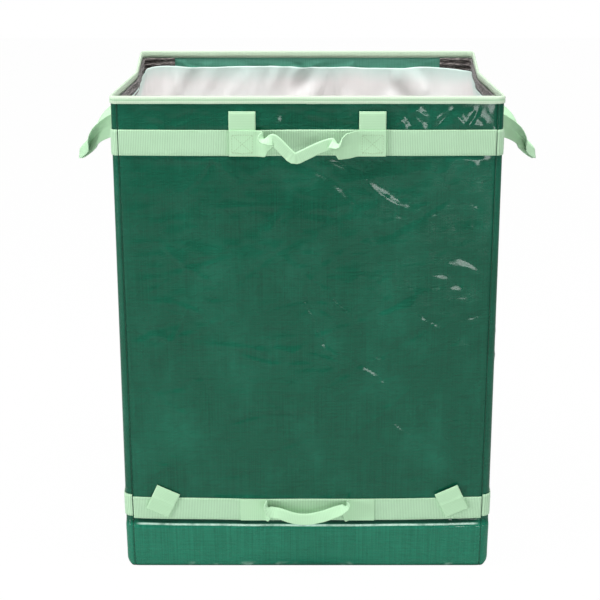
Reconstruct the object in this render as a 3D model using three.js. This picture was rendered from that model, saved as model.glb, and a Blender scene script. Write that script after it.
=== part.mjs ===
// An open, box-shaped parcel sack of laminated woven plastic, standing empty on its base.
// Five sewn fabric panels are lined with a loose film bag.
// A tape binds the mouth, webbing bands run round the walls near the top and the base, and
// six webbing handles and twelve folded webbing tabs are sewn on the bands.
// Millimetres, +Z up, the front faces -Y, and the origin is the middle of the base, on the floor.

import * as THREE from "three";

// The sack
const SACK_WIDTH = 600;
const SACK_DEPTH = 450;
const SACK_HEIGHT = 800;
const CORNER_RADIUS = 10;
const FABRIC_THICKNESS = 1;
const LAYER_GAP = 0.3; // between any two layers that lie on each other
const TAB_GAP = 0.5; // under a tab, which bridges the facets of the band
const END_GAP = 0.4; // between pieces that meet edge to edge

// How the soft walls stand
const WALL_BULGE = 6; // outwards, half way up the front and the back
const SIDE_BULGE = 9;
const BASE_FLARE = 4; // each wall leans out by this much at the floor
const BASE_TUCK = 6; // the foot of each wall rolls in by this much
const BASE_TUCK_HEIGHT = 16;
const MOUTH_KINK = 16; // the sides fold in at their middle, at the mouth
const MOUTH_KINK_HEIGHT = 350;
const CREASE_HEIGHT = 76; // the fold line under the lower band
const CREASE_RIDGE = 5;
const CREASE_VALLEY = 3;
const CREASE_VALLEY_RISE = 10; // from the ridge up to the valley

// The lining
const LINER_THICKNESS = 0.8;
const LINER_TOP_DROP = 27;
const LINER_SLACK = 3; // the loose film stands off the fabric
const LINER_CORNER_RADIUS = 45;

// The mouth
const BINDING_THICKNESS = 1.4;
const BINDING_HEIGHT = 12;
const CLOSURE_HEIGHT = 25; // the dark tape inside each side of the mouth
const CLOSURE_THICKNESS = 1.4;
const CLOSURE_RETURN = 50; // how far that tape runs on past each corner

// The webbing
const WEBBING_WIDTH = 40;
const WEBBING_THICKNESS = 1.4;
const UPPER_BAND_DROP = 72; // from the mouth down to the middle of the band
const UPPER_BAND_HEIGHT = SACK_HEIGHT - UPPER_BAND_DROP;
const LOWER_BAND_HEIGHT = 111; // from the floor up to the middle of the band
const SIDE_BAND_RISE = 4; // the lower side bands are sewn a little higher
const HANDLE_SPAN = 240; // from end to end of a sewn handle
const LOWER_HANDLE_SPAN = 222;
const ANCHOR_LENGTH = 41; // the sewn end of a handle
const FOLD_WIDTH = 2.6; // the rounded back of a strap that is folded lengthwise
const FOLD_TURN = 170; // degrees from one leaf of a folded strap to the other
const SIDE_HANDLE_REACH = 84; // how far the slack of a handle stands off the wall
const SIDE_HANDLE_DROOP = 56; // and how far it hangs below its sewn ends
const FRONT_HANDLE_REACH = 30;
const FRONT_HANDLE_DROOP = 9;
const LOWER_HANDLE_REACH = 20;
const LOWER_HANDLE_DROOP = 4;
const TAB_WIDTH = 41;
const UPPER_TAB_RISE = 28; // above the upper band
const UPPER_TAB_INSET = 1; // from the lower edge of the band up to the foot of a tab
const LOWER_TAB_LENGTH = 46;
const LOWER_TAB_TILT = 25; // degrees
const LOWER_TAB_INSET = 51; // from the side of the front to the foot of a tab
const LOWER_TAB_RISE = 13; // from the lower edge of the band up to the foot of a tab

const greenFabric = new THREE.MeshStandardMaterial({ color: 0x1a6650, roughness: 0.42, metalness: 0 });
const mintWebbing = new THREE.MeshStandardMaterial({ color: 0xb4e3b8, roughness: 0.8, metalness: 0 });
const blackTape = new THREE.MeshStandardMaterial({ color: 0x2a2224, roughness: 0.9, metalness: 0 });
const milkyFilm = new THREE.MeshStandardMaterial({ color: 0xe9e9e7, roughness: 0.35, metalness: 0 });

const sack = new THREE.Group();

function piece(name, geometry, material) {
  const mesh = new THREE.Mesh(geometry, material);
  mesh.name = name;
  sack.add(mesh);
}

// The four walls, each turned from the front about the vertical axis.
// half is half the wall's length, and reach is how far the wall stands from the middle.
const WALLS = {
  front: { turn: 0, half: SACK_WIDTH / 2, reach: SACK_DEPTH / 2, isSide: false },
  right: { turn: Math.PI / 2, half: SACK_DEPTH / 2, reach: SACK_WIDTH / 2, isSide: true },
  back: { turn: Math.PI, half: SACK_WIDTH / 2, reach: SACK_DEPTH / 2, isSide: false },
  left: { turn: -Math.PI / 2, half: SACK_DEPTH / 2, reach: SACK_WIDTH / 2, isSide: true },
};
const WALL_NAMES = Object.keys(WALLS);
const FLAT_STEPS = 6; // between the ends of the closure tapes, or along a side
const CORNER_STEPS = 4;

// Heights at which every wall layer has a row of points.
const CREASE_VALLEY_HEIGHT = CREASE_HEIGHT + CREASE_VALLEY_RISE;
const bandEdges = (height) => [height - WEBBING_WIDTH / 2, height + WEBBING_WIDTH / 2];
const [LOWER_BAND_FOOT, LOWER_BAND_TOP] = bandEdges(LOWER_BAND_HEIGHT);
const [UPPER_BAND_FOOT, UPPER_BAND_TOP] = bandEdges(UPPER_BAND_HEIGHT);
const BINDING_FOOT = SACK_HEIGHT - BINDING_HEIGHT;
const CLOSURE_TOP = BINDING_FOOT - LAYER_GAP;
const CLOSURE_FOOT = CLOSURE_TOP - CLOSURE_HEIGHT;
const MIDDLE_ROWS = 4;
const middleRows = Array.from({ length: MIDDLE_ROWS - 1 }, (_, i) =>
  THREE.MathUtils.lerp(LOWER_BAND_TOP, UPPER_BAND_FOOT, (i + 1) / MIDDLE_ROWS),
);
const ROW_HEIGHTS = [
  0, BASE_TUCK_HEIGHT / 3, BASE_TUCK_HEIGHT, (BASE_TUCK_HEIGHT + CREASE_HEIGHT) / 2,
  CREASE_HEIGHT, CREASE_VALLEY_HEIGHT, LOWER_BAND_FOOT, LOWER_BAND_TOP, ...middleRows,
  UPPER_BAND_FOOT, UPPER_BAND_TOP, CLOSURE_FOOT, BINDING_FOOT, SACK_HEIGHT,
];

// How far the wall stands outside its upright plane, at share -1 to 1 along it and height z.
function standOff(wall, share, z) {
  const up = z / SACK_HEIGHT;
  const tuck = BASE_TUCK * Math.max(0, 1 - z / BASE_TUCK_HEIGHT) ** 2;
  const swell = Math.sin(Math.PI * up) * (1 - share * share);
  const lean = BASE_FLARE * (1 - up) - tuck;
  if (wall.isSide) {
    const mouth = Math.max(0, 1 - (SACK_HEIGHT - z) / MOUTH_KINK_HEIGHT) ** 1.5;
    return lean + SIDE_BULGE * swell - MOUTH_KINK * mouth * (1 - Math.abs(share));
  }
  return lean + WALL_BULGE * swell + creaseAt(z);
}

// The fold line: out at the ridge, in at the valley above it, and flat again under the band.
function creaseAt(z) {
  const heights = [0, CREASE_HEIGHT, CREASE_VALLEY_HEIGHT, LOWER_BAND_TOP];
  const stands = [0, CREASE_RIDGE, -CREASE_VALLEY, 0];
  return between(heights, stands, z);
}

// The value at x of the broken line through (xs, ys).
function between(xs, ys, x) {
  let i = 1;
  while (i < xs.length - 1 && x > xs[i]) i += 1;
  const share = THREE.MathUtils.clamp((x - xs[i - 1]) / (xs[i] - xs[i - 1]), 0, 1);
  return THREE.MathUtils.lerp(ys[i - 1], ys[i], share);
}

// A column is one upright line of a wall: its foot and the direction that faces outwards.
// Its stands are taken once at each row, so that all layers share the same facets.
function columnAt(wall, x, y, outX, outY, stands) {
  const axis = new THREE.Vector3(0, 0, 1);
  return {
    foot: new THREE.Vector3(x, y, 0).applyAxisAngle(axis, wall.turn),
    out: new THREE.Vector3(outX, outY, 0).applyAxisAngle(axis, wall.turn),
    along: x,
    stands,
  };
}

const standsAt = (wall, x) => ROW_HEIGHTS.map((z) => standOff(wall, x / (wall.half - CORNER_RADIUS), z));

// One wall's columns at the given stations, at off from the fabric, and then the columns of
// the corner on its right, whose stands lead over to those of the next wall.
function columnsAlong(name, stations, off, radius, cornerSteps) {
  const wall = WALLS[name];
  const flatHalf = wall.half + off - radius;
  const flat = stations.map((x) => columnAt(wall, x, -wall.reach - off, 0, -1, standsAt(wall, x)));
  const next = WALLS[WALL_NAMES[(WALL_NAMES.indexOf(name) + 1) % WALL_NAMES.length]];
  const before = standsAt(wall, flatHalf);
  const after = standsAt(next, radius - next.half - off);
  const corner = Array.from({ length: cornerSteps - 1 }, (_, i) => {
    const turn = (i + 1) / cornerSteps;
    const angle = (turn - 1) * (Math.PI / 2);
    const [outX, outY] = [Math.cos(angle), Math.sin(angle)];
    const stands = before.map((stand, row) => THREE.MathUtils.lerp(stand, after[row], turn));
    const y = radius * (outY + 1) - wall.reach - off;
    return columnAt(wall, flatHalf + radius * outX, y, outX, outY, stands);
  });
  return { flat, corner };
}

// The stations along a wall. On the front and the back, one is where a closure tape ends.
const evenStations = (half, steps) => Array.from({ length: steps + 1 }, (_, i) => half * ((2 * i) / steps - 1));
function wallStations(wall) {
  const flatHalf = wall.half - CORNER_RADIUS;
  if (wall.isSide) return evenStations(flatHalf, FLAT_STEPS);
  const inner = flatHalf - CLOSURE_RETURN;
  const outer = (inner + flatHalf) / 2;
  return [-flatHalf, -outer, ...evenStations(inner, FLAT_STEPS), outer, flatHalf];
}

const columnsOf = Object.fromEntries(
  WALL_NAMES.map((name) => [name, columnsAlong(name, wallStations(WALLS[name]), 0, CORNER_RADIUS, CORNER_STEPS)]),
);
const perimeter = WALL_NAMES.flatMap((name) => [...columnsOf[name].flat, ...columnsOf[name].corner]);

// The columns from one to another, going round to the right.
function run(first, last) {
  const start = perimeter.indexOf(first);
  const count = (perimeter.indexOf(last) - start + perimeter.length) % perimeter.length;
  return Array.from({ length: count + 1 }, (_, i) => perimeter[(start + i) % perimeter.length]);
}

// The point of a column at height z, off millimetres outside the fabric's outer face.
function wallPoint(column, z, off) {
  const stand = between(ROW_HEIGHTS, column.stands, z);
  return column.foot.clone().addScaledVector(column.out, stand + off).setZ(z);
}

// The same point, anywhere along the flat stretch of a named wall.
function flatPoint(name, along, z, off) {
  const flat = columnsOf[name].flat;
  let i = 1;
  while (i < flat.length - 1 && along > flat[i].along) i += 1;
  const share = (along - flat[i - 1].along) / (flat[i].along - flat[i - 1].along);
  return wallPoint(flat[i - 1], z, off).lerp(wallPoint(flat[i], z, off), share);
}

// A box of so many steps each way, whose every grid point (i, j, k) is moved to place(i, j, k).
function bentBox(stepsX, stepsY, stepsZ, place) {
  const geometry = new THREE.BoxGeometry(stepsX, stepsY, stepsZ, stepsX, stepsY, stepsZ);
  const at = geometry.attributes.position;
  for (let n = 0; n < at.count; n += 1) {
    const i = Math.round(at.getX(n) + stepsX / 2);
    const j = Math.round(at.getY(n) + stepsY / 2);
    const k = Math.round(at.getZ(n) + stepsZ / 2);
    const point = place(i, j, k);
    at.setXYZ(n, point.x, point.y, point.z);
  }
  // The far side is cut along the same diagonals as the near side, so that layers nest.
  const far = geometry.groups.at(-1);
  for (let n = far.start; n < far.start + far.count; n += 6) {
    const [a, b, d, , c] = Array.from({ length: 6 }, (_, m) => geometry.index.getX(n + m));
    [a, b, c, a, c, d].forEach((vertex, m) => geometry.index.setX(n + m, vertex));
  }
  geometry.computeVertexNormals();
  return geometry;
}

// A layer on the wall, over a run of columns and between two heights, from off inner to off outer.
// Where it starts or ends at a seam it is drawn back along the wall by endGap.
function wallLayer(columns, foot, top, inner, outer, endGap = 0) {
  const rows = [foot, ...ROW_HEIGHTS.filter((z) => z > foot && z < top), top];
  const last = columns.length - 1;
  return bentBox(last, rows.length - 1, 1, (i, j, k) => {
    const off = k ? outer : inner;
    const point = wallPoint(columns[i], rows[j], off);
    if (i !== 0 && i !== last) return point;
    const next = wallPoint(columns[i ? i - 1 : 1], rows[j], off);
    return point.addScaledVector(next.sub(point).normalize(), endGap);
  });
}

const flatEnds = (name) => [columnsOf[name].flat[0], columnsOf[name].flat.at(-1)];
const panelRuns = {
  front: run(...flatEnds("front")),
  right: run(flatEnds("front")[1], flatEnds("back")[0]),
  back: run(...flatEnds("back")),
  left: run(flatEnds("back")[1], flatEnds("front")[0]),
};

// Fabric panels: the sides run round the corners to the seams on the front and the back.
const FABRIC_INNER = -FABRIC_THICKNESS;
for (const name of WALL_NAMES) {
  const geometry = wallLayer(panelRuns[name], 0, SACK_HEIGHT - BINDING_THICKNESS - LAYER_GAP, FABRIC_INNER, 0, END_GAP / 2);
  piece(`${name}_panel`, geometry, greenFabric);
}

// The base lies inside the feet of the walls.
const WALL_CLEAR = FABRIC_INNER - LAYER_GAP; // where the next layer inside the fabric starts
const FLOOR_TOP = FABRIC_THICKNESS + LAYER_GAP; // what stands on the base panel

function basePanel() {
  const outline = perimeter.map((column) => wallPoint(column, 0, WALL_CLEAR));
  const shape = new THREE.Shape(outline.map((point) => new THREE.Vector2(point.x, point.y)));
  return new THREE.ExtrudeGeometry(shape, { depth: FABRIC_THICKNESS, bevelEnabled: false });
}
piece("base_panel", basePanel(), greenFabric);

// The liner: one open bag of film, a lathed shape whose rings are led round the inside of the
// walls. Its corners are rounder than the sack's, because the loose film bridges them.
const LINER_SIDE_STEPS = 4;
const LINER_CORNER_STEPS = 4;
const LINER_TOP = SACK_HEIGHT - LINER_TOP_DROP;
const LINER_OUTER = FABRIC_INNER - LINER_SLACK;

function linerColumns() {
  return WALL_NAMES.flatMap((name) => {
    const stations = evenStations(WALLS[name].half + LINER_OUTER - LINER_CORNER_RADIUS, LINER_SIDE_STEPS);
    const { flat, corner } = columnsAlong(name, stations, LINER_OUTER, LINER_CORNER_RADIUS, LINER_CORNER_STEPS);
    return [...flat, ...corner];
  });
}

function linerBag() {
  const columns = linerColumns();
  const rows = ROW_HEIGHTS.filter((z) => z >= CREASE_VALLEY_HEIGHT && z < LINER_TOP);
  const heights = [FLOOR_TOP, BASE_TUCK_HEIGHT, ...rows, LINER_TOP];
  const outside = heights.map((z) => ({ z, off: 0 }));
  const inside = heights.map((z) => ({ z: Math.max(z, FLOOR_TOP + LINER_THICKNESS), off: -LINER_THICKNESS }));
  const profile = [{ z: FLOOR_TOP }, ...outside, ...inside.reverse(), { z: FLOOR_TOP + LINER_THICKNESS }];
  const radii = profile.map(({ off }, i) => new THREE.Vector2(off === undefined ? 0 : 1, i));
  const geometry = new THREE.LatheGeometry(radii, columns.length);
  const at = geometry.attributes.position;
  for (let n = 0; n < at.count; n += 1) {
    const { z, off } = profile[n % profile.length];
    const column = columns[Math.floor(n / profile.length) % columns.length];
    const point = off === undefined ? new THREE.Vector3(0, 0, z) : wallPoint(column, z, off);
    at.setXYZ(n, point.x, point.y, point.z);
  }
  // The inside is cut along the same diagonals as the outside, so that the film keeps its thickness.
  for (let n = 0; n < geometry.index.count; n += 6) {
    const [a, b, d, c] = Array.from({ length: 4 }, (_, m) => geometry.index.getX(n + m));
    if (a % profile.length <= heights.length) continue;
    [a, b, c, a, c, d].forEach((vertex, m) => geometry.index.setX(n + m, vertex));
  }
  geometry.setIndex(withArea(geometry));
  geometry.computeVertexNormals();
  return geometry;
}

// The triangles that have an area. Those between two rings' points on the axis have none.
function withArea(geometry) {
  const at = geometry.attributes.position;
  const triangle = new THREE.Triangle();
  const kept = [];
  for (let n = 0; n < geometry.index.count; n += 3) {
    const corners = [0, 1, 2].map((m) => geometry.index.getX(n + m));
    triangle.setFromAttributeAndIndices(at, ...corners);
    if (triangle.getArea() > 0) kept.push(...corners);
  }
  return kept;
}
piece("inner_liner", linerBag(), milkyFilm);

// The binding: one tape folded over the edge of the mouth, all the way round.
// Its section is carried round a torus whose rings are the columns.
function mouthBinding() {
  const outer = LAYER_GAP + BINDING_THICKNESS;
  const inner = WALL_CLEAR - BINDING_THICKNESS;
  const under = SACK_HEIGHT - BINDING_THICKNESS;
  const round = BINDING_THICKNESS / 2;
  const section = [
    [outer, BINDING_FOOT], [outer, SACK_HEIGHT - round], [outer - round, SACK_HEIGHT],
    [inner + round, SACK_HEIGHT], [inner, SACK_HEIGHT - round], [inner, BINDING_FOOT],
    [WALL_CLEAR, BINDING_FOOT], [WALL_CLEAR, under], [LAYER_GAP, under], [LAYER_GAP, BINDING_FOOT],
  ];
  const around = perimeter.length;
  const geometry = new THREE.TorusGeometry(2, 1, section.length, around);
  const at = geometry.attributes.position;
  for (let n = 0; n < at.count; n += 1) {
    const ring = Math.floor(n / (around + 1)) % section.length;
    const [off, z] = section[ring];
    const point = wallPoint(perimeter[(n % (around + 1)) % around], z, off);
    at.setXYZ(n, point.x, point.y, point.z);
  }
  geometry.computeVertexNormals();
  return geometry;
}
piece("rim_binding", mouthBinding(), mintWebbing);

// The dark closure tapes: inside each side of the mouth, round both corners.
const CLOSURE_INNER = WALL_CLEAR - CLOSURE_THICKNESS;
const cornerReturn = 2; // columns from a seam to the end of a tape
const closureRuns = {
  right: run(columnsOf.front.flat.at(-1 - cornerReturn), columnsOf.back.flat[cornerReturn]),
  left: run(columnsOf.back.flat.at(-1 - cornerReturn), columnsOf.front.flat[cornerReturn]),
};
for (const [name, columns] of Object.entries(closureRuns)) {
  const geometry = wallLayer(columns, CLOSURE_FOOT, CLOSURE_TOP, CLOSURE_INNER, WALL_CLEAR);
  piece(`${name}_closure_tape`, geometry, blackTape);
}

// Webbing bands: one to each panel, ending in the corner seams.
const BAND_OUTER = LAYER_GAP + WEBBING_THICKNESS;
for (const name of WALL_NAMES) {
  const rise = WALLS[name].isSide ? SIDE_BAND_RISE : 0;
  for (const [level, height] of [["upper", UPPER_BAND_HEIGHT], ["lower", LOWER_BAND_HEIGHT + rise]]) {
    const [foot, top] = bandEdges(height);
    const geometry = wallLayer(panelRuns[name], foot, top, LAYER_GAP, BAND_OUTER, END_GAP / 2);
    piece(`${name}_${level}_band`, geometry, mintWebbing);
  }
}

// A handle is a strap that lies flat on the band at both ends and is folded lengthwise between
// them, its upper half over its lower half. A station says where the strap's middle line is
// (along the wall, drop below the band's middle, distance off the fabric), how far it is
// folded, 0 to 1, and by how many degrees the whole section leans outwards.
function strapStations(stations, count) {
  const keys = ["along", "drop", "off", "fold", "lean"];
  const spans = stations.slice(1).map((s, i) =>
    Math.hypot(s.along - stations[i].along, s.drop - stations[i].drop, s.off - stations[i].off));
  const reach = spans.reduce((sums, span) => [...sums, sums.at(-1) + span], [0]);
  return Array.from({ length: count + 1 }, (_, n) => {
    const at = (n / count) * reach.at(-1);
    return Object.fromEntries(keys.map((key) => [key, smooth(reach, stations.map((s) => s[key]), at)]));
  });
}

// A smooth line through (xs, ys) that never overshoots a station.
function smooth(xs, ys, x) {
  let i = 1;
  while (i < xs.length - 1 && x > xs[i]) i += 1;
  const slope = (a, b) => (ys[b] - ys[a]) / (xs[b] - xs[a]);
  const tangent = (n) => {
    if (n === 0 || n === xs.length - 1) return 0;
    const [before, after] = [slope(n - 1, n), slope(n, n + 1)];
    return before * after <= 0 ? 0 : (2 * before * after) / (before + after);
  };
  const span = xs[i] - xs[i - 1];
  const t = THREE.MathUtils.clamp((x - xs[i - 1]) / span, 0, 1);
  const rise = (3 - 2 * t) * t * t;
  return (
    ys[i - 1] * (1 - rise) + ys[i] * rise +
    span * (tangent(i - 1) * t * (1 - t) ** 2 - tangent(i) * t * t * (1 - t))
  );
}

const STRAP_STEPS = 26;
function strap(wallName, height, stations) {
  const points = strapStations(stations, STRAP_STEPS).map((s) => ({
    ...s,
    centre: flatPoint(wallName, s.along, height - s.drop, s.off),
    upWall: flatPoint(wallName, s.along, height + WEBBING_WIDTH / 2, 0).sub(
      flatPoint(wallName, s.along, height - WEBBING_WIDTH / 2, 0)).normalize(),
  }));
  const sections = points.map((point, n) => {
    const before = points[Math.max(0, n - 1)].centre;
    const after = points[Math.min(points.length - 1, n + 1)].centre;
    const tangent = after.clone().sub(before).normalize();
    const out = tangent.clone().cross(point.upWall).normalize();
    const up = out.clone().cross(tangent).normalize();
    return acrossStrap(point, out, up);
  });
  return bentBox(STRAP_STEPS, 3, 1, (i, j, k) => sections[i][j][k]);
}

// The four points across the strap, from its lower edge to its upper edge, each as
// [inner face, outer face]. The middle stretch, FOLD_WIDTH wide, is the back of the fold.
function acrossStrap({ centre, fold, lean }, out, up) {
  const degree = Math.PI / 180;
  const angles = [0, 0.5, 1].map((share) => (90 - lean - FOLD_TURN * fold * share) * degree);
  const direction = (a) => out.clone().multiplyScalar(Math.cos(a)).addScaledVector(up, Math.sin(a));
  const leaf = (WEBBING_WIDTH - FOLD_WIDTH) / 2;
  const [lower, middle, upper] = angles.map(direction);
  const backFoot = centre.clone().addScaledVector(middle, -FOLD_WIDTH / 2);
  const backTop = centre.clone().addScaledVector(middle, FOLD_WIDTH / 2);
  const line = [backFoot.clone().addScaledVector(lower, -leaf), backFoot, backTop,
    backTop.clone().addScaledVector(upper, leaf)];
  // Each point's face direction halves the corner there, lengthened so the thickness holds.
  const turns = [angles[0], (angles[0] + angles[1]) / 2, (angles[1] + angles[2]) / 2, angles[2]];
  return line.map((point, i) => {
    const side = i < 2 ? angles[0] : angles[2];
    const away = direction(turns[i] - Math.PI / 2);
    const half = WEBBING_THICKNESS / 2 / Math.cos(turns[i] - side);
    return [point.clone().addScaledVector(away, -half), point.clone().addScaledVector(away, half)];
  });
}

// Folded webbing tabs: a short piece doubled over, with the fold at its free end.
// place(across, along, off) puts it on a wall.
const TAB_PLY_GAP = 0.4;
const TAB_DEPTH = 2 * WEBBING_THICKNESS + TAB_PLY_GAP;
const TAB_STEPS = 6;
function tab(length, acrossSteps, place) {
  // The hairpin, as pairs of [along, off]: the back ply up to the fold, and the front ply down.
  const round = WEBBING_THICKNESS;
  const hairpin = (fold, back, front) => [
    ...Array.from({ length: TAB_STEPS + 1 }, (_, i) => [((fold - round) * i) / TAB_STEPS, back]),
    [fold, (back + front) / 2],
    ...Array.from({ length: TAB_STEPS + 1 }, (_, i) => [((fold - round) * (TAB_STEPS - i)) / TAB_STEPS, front]),
  ];
  const outside = hairpin(length, 0, TAB_DEPTH);
  const inside = hairpin(length - WEBBING_THICKNESS, WEBBING_THICKNESS, WEBBING_THICKNESS + TAB_PLY_GAP);
  return bentBox(acrossSteps, outside.length - 1, 1, (i, j, k) => {
    const [along, off] = k ? inside[j] : outside[j];
    return place((i / acrossSteps - 0.5) * TAB_WIDTH, along, off);
  });
}

// The upper tabs stand on the band, behind the ends of the handles.
const TAB_FOOT = BAND_OUTER + TAB_GAP;
const ANCHOR_MIDDLE = (HANDLE_SPAN - ANCHOR_LENGTH) / 2;
const UPPER_TAB_FOOT = UPPER_BAND_FOOT + UPPER_TAB_INSET;
const UPPER_TAB_LENGTH = UPPER_BAND_TOP + UPPER_TAB_RISE - UPPER_TAB_FOOT;
for (const name of WALL_NAMES) {
  for (const [end, side] of [["a", -1], ["b", 1]]) {
    const geometry = tab(UPPER_TAB_LENGTH, 1, (across, along, off) =>
      flatPoint(name, side * ANCHOR_MIDDLE + across, UPPER_TAB_FOOT + along, TAB_FOOT + off));
    piece(`${name}_upper_tab_${end}`, geometry, mintWebbing);
  }
}

// The lower tabs are sewn on the lower bands of the front and the back, tilted outwards.
for (const name of ["front", "back"]) {
  for (const [end, side] of [["a", -1], ["b", 1]]) {
    const tilt = -side * THREE.MathUtils.degToRad(LOWER_TAB_TILT);
    const middle = side * (SACK_WIDTH / 2 - LOWER_TAB_INSET);
    const geometry = tab(LOWER_TAB_LENGTH, 2, (across, along, off) => {
      const x = across * Math.cos(tilt) + along * Math.sin(tilt);
      const z = along * Math.cos(tilt) - across * Math.sin(tilt);
      return flatPoint(name, middle + x, LOWER_BAND_FOOT + LOWER_TAB_RISE + z, TAB_FOOT + off);
    });
    piece(`${name}_lower_tab_${end}`, geometry, mintWebbing);
  }
}

// Handles: the sewn ends lie over the tabs, and the slack between them hangs in its folds.
const STRAP_OVER_TAB = TAB_FOOT + TAB_DEPTH + LAYER_GAP + WEBBING_THICKNESS / 2;
const STRAP_ON_BAND = TAB_FOOT + WEBBING_THICKNESS / 2;
const flatStation = (along, off) => ({ along, drop: 0, off, fold: 0, lean: 0 });
function handleStations(span, endOff, middle) {
  const sewn = span / 2 - ANCHOR_LENGTH;
  return [
    flatStation(-span / 2, endOff), flatStation(-sewn, endOff), ...middle,
    flatStation(sewn, endOff), flatStation(span / 2, endOff),
  ];
}

// The slack of a handle, from rows of [along, drop, off, fold, lean]: along is a share of half
// the strap between its sewn ends, drop of the handle's droop, and off of its reach.
const slackStations = (span, droop, reach, rows) =>
  rows.map(([along, drop, off, fold, lean]) => ({
    along: along * (span / 2 - ANCHOR_LENGTH),
    drop: drop * droop,
    off: off * reach,
    fold,
    lean,
  }));
const frontSlack = slackStations(HANDLE_SPAN, FRONT_HANDLE_DROOP, FRONT_HANDLE_REACH, [
  [-0.84, 0, 0.42, 0.12, -2],
  [-0.66, -1.7, 0.8, 0.9, 6],
  [-0.23, 1, 1, 1, 8],
  [-0.12, 0.7, 1, 1, 8],
  [0.3, -1, 0.88, 1, 6],
  [0.46, -1.2, 0.82, 0.9, 6],
  [0.62, 0.2, 0.7, 0.3, -2],
  [0.8, 0.2, 0.4, 0.05, -2],
]);
const sideSlack = slackStations(HANDLE_SPAN, SIDE_HANDLE_DROOP, SIDE_HANDLE_REACH, [
  [-0.86, 0, 0.22, 0.05, -4],
  [-0.63, 0.3, 0.52, 0.4, 2],
  [-0.38, 0.68, 0.79, 0.85, 8],
  [-0.13, 1, 1, 1, 5],
  [0.13, 1, 1, 1, 5],
  [0.38, 0.68, 0.79, 0.85, 8],
  [0.63, 0.3, 0.52, 0.4, 2],
  [0.86, 0, 0.22, 0.05, -4],
]);
const lowerSlack = slackStations(LOWER_HANDLE_SPAN, LOWER_HANDLE_DROOP, LOWER_HANDLE_REACH, [
  [-0.86, -0.8, 0.45, 0.2, 0],
  [-0.7, -2, 0.75, 0.65, 8],
  [-0.15, 1, 1, 0.75, 14],
  [0.3, -0.3, 0.95, 0.75, 14],
  [0.7, -2.6, 0.75, 0.65, 6],
  [0.86, -1.2, 0.45, 0.2, 0],
]);
for (const name of WALL_NAMES) {
  const slack = WALLS[name].isSide ? sideSlack : frontSlack;
  const stations = handleStations(HANDLE_SPAN, STRAP_OVER_TAB, slack);
  piece(`${name}_upper_handle`, strap(name, UPPER_BAND_HEIGHT, stations), mintWebbing);
}
for (const name of ["front", "back"]) {
  const stations = handleStations(LOWER_HANDLE_SPAN, STRAP_ON_BAND, lowerSlack);
  piece(`${name}_lower_handle`, strap(name, LOWER_BAND_HEIGHT, stations), mintWebbing);
}

export default sack;
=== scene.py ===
# %% [markdown]
# A woven parcel sack
#
# This lesson dresses the plain solids of an open, box-shaped sack as the real thing: glossy
# laminated tape fabric, ribbed webbing, a bound mouth and a milky film bag. Every shape is a
# surface worked out on a grid, so the pieces share one map of the soft walls and can't drift
# apart. Lengths are in metres. The front faces -Y, and the sack stands on the floor at z = 0.

import math

import bpy
import numpy as np
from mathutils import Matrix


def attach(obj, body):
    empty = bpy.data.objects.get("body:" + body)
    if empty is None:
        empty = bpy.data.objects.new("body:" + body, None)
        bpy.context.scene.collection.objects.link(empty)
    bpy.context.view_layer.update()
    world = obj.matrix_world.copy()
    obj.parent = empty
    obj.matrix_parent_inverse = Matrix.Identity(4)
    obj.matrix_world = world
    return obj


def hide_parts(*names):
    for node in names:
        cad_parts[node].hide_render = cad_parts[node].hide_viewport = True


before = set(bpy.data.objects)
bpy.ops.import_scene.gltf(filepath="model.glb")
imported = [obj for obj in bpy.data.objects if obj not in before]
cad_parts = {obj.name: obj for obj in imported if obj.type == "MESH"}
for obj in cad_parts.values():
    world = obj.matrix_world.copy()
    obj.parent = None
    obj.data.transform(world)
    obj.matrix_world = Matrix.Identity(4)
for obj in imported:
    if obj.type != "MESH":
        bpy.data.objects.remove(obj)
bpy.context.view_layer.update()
print("solids:", len(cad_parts))

# %% [markdown]
# The camera looks down on the sack from the front by about 18 degrees. Its distance and lens
# follow from how the sack's mouth and body shrink in the picture from front to back and from
# top to bottom. A small shift puts the sack's middle where the picture has it.

# %% Camera
SENSOR = 0.036
PICTURE = 600
FOCAL_PIXELS = 1444
CAMERA_PITCH = 18.4
CAMERA_PLACE = (0.0, -2.40, 1.197)
SIDE_SHIFT_PIXELS = 7.36

camera_data = bpy.data.cameras.new("camera")
camera_data.sensor_width = SENSOR * 1000
camera_data.lens = SENSOR * 1000 * FOCAL_PIXELS / PICTURE
camera_data.shift_x = -SIDE_SHIFT_PIXELS / PICTURE
camera = bpy.data.objects.new("camera", camera_data)
camera.location = CAMERA_PLACE
camera.rotation_euler = (math.radians(90 - CAMERA_PITCH), 0, 0)
bpy.context.scene.collection.objects.link(camera)
bpy.context.scene.camera = camera

# %% [markdown]
# The sack is 600 mm wide, 450 mm deep and 800 mm high. The other sizes are those of its
# materials: fabric, 40 mm webbing, the tape at its mouth, and the film.

# %% Sizes
MM = 0.001
WIDTH, DEPTH, HEIGHT = 0.600, 0.450, 0.800
CORNER = 10 * MM
FABRIC = 1 * MM
GAP = 0.3 * MM
WEBBING_WIDTH = 40 * MM
WEBBING = 1.4 * MM
BINDING_HEIGHT = 12 * MM
UPPER_BAND = 728 * MM
LOWER_BAND = 111 * MM
SIDE_BAND_RISE = 4 * MM
LOWER_SAG = 3 * MM
CLOSURE_HEIGHT = 25 * MM
CLOSURE_RETURN = 50 * MM
LINER_DROP = 27 * MM
LINER_INSET = 4 * MM
LINER_CORNER = 45 * MM
QUARTER = math.pi / 2

# %% [markdown]
# The walls are one map from a place on the sack to a point in space. The place is s, the
# distance round the sack from the middle of the front, the height z, and the distance off the
# fabric's outer face. The outline is a rectangle with round corners. The real walls are soft,
# so each stands off that outline a little: it swells half way up, the sides fold in at the
# mouth, a fold line runs round under the lower band, and the foot rolls in.

# %% The outline round the sack
SIDES = ("front", "right", "back", "left")


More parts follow.
